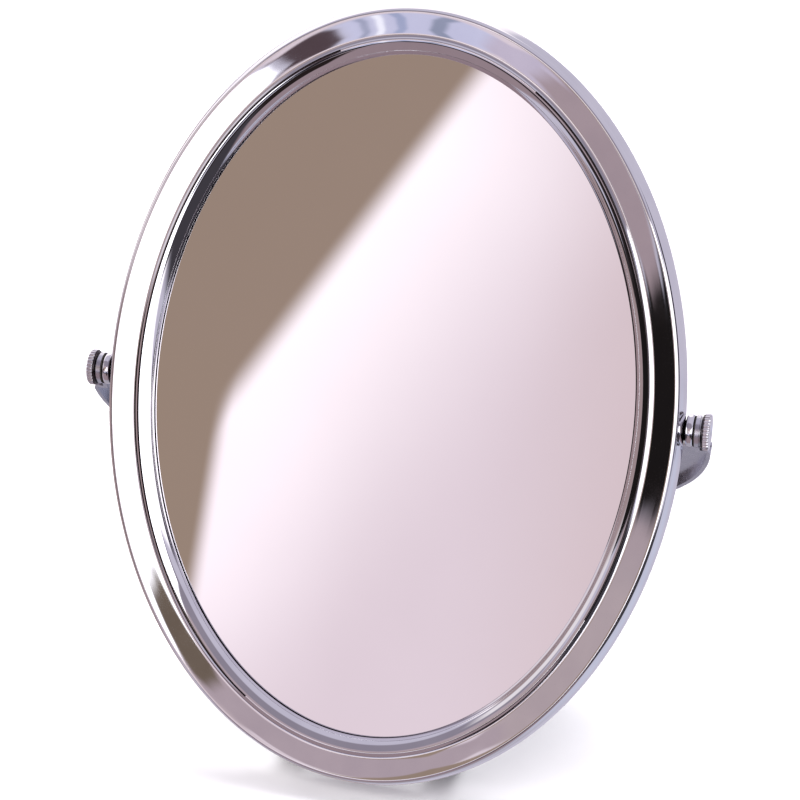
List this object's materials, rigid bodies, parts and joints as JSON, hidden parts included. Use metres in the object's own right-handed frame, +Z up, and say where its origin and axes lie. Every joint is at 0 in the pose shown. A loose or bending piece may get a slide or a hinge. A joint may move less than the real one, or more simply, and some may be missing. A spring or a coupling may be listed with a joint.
{
  "type": "countertop mirror",
  "caption": "Oval tabletop mirror in a polished ring, held by two side thumb screws on a folding easel leg behind it.",
  "frame": {"origin": "centre of the bounding box, on the table that the mirror stands on", "axes": "+Z up, -Y is where the glass faces, X along the two thumb screws"},
  "size_m": [0.2484, 0.1508, 0.2897],
  "materials": {
    "chrome_trim": "bright polished plate with fine handling marks",
    "mirror_silver": "silvered float glass",
    "rubber_black": "moulded, matt",
    "foam_grey": "thin closed-cell sheet",
    "plate_steel": "bare rolled steel",
    "cover_paint": "satin stove enamel",
    "leg_plate": "bright plated pressing",
    "fastener_zinc": "zinc plated",
    "fibre_washer": "pale fibre"
  },
  "bodies": {
    "mirror_head": {"front_ring": "chrome_trim", "mirror_glass": "mirror_silver", "glass_gasket": "rubber_black", "foam_backing": "foam_grey", "backing_plate": "plate_steel", "pressure_springs": "plate_steel", "screw_lugs": "plate_steel", "rear_cover": "cover_paint", "cover_screws": "fastener_zinc", "rear_bumpers": "rubber_black", "bumper_screws": "fastener_zinc", "left_pivot_block": "plate_steel", "right_pivot_block": "plate_steel", "left_pivot_spacer": "chrome_trim", "right_pivot_spacer": "chrome_trim"},
    "easel_stand": {"easel_leg": "leg_plate", "leg_brace": "leg_plate", "brace_rivets": "fastener_zinc", "rubber_shoe": "rubber_black", "left_friction_washer": "fibre_washer", "right_friction_washer": "fibre_washer", "left_spring_washer": "fastener_zinc", "right_spring_washer": "fastener_zinc"},
    "left_knob": {"left_thumb_knob": "chrome_trim", "left_pivot_stud": "fastener_zinc"},
    "right_knob": {"right_thumb_knob": "chrome_trim", "right_pivot_stud": "fastener_zinc"}
  },
  "joints": [
    {"name": "easel_hinge", "type": "hinge", "parent": "mirror_head", "child": "easel_stand", "pos_m": [0, -0.01123, 0.14557], "axis": [1, 0, 0], "range_deg": [-30, 20]},
    {"name": "left_knob_turn", "type": "hinge", "parent": "mirror_head", "child": "left_knob", "pos_m": [-0.1223, -0.01123, 0.14557], "axis": [-1, 0, 0], "range_deg": [0, 180]},
    {"name": "right_knob_turn", "type": "hinge", "parent": "mirror_head", "child": "right_knob", "pos_m": [0.1223, -0.01123, 0.14557], "axis": [1, 0, 0], "range_deg": [0, 180]}
  ]
}
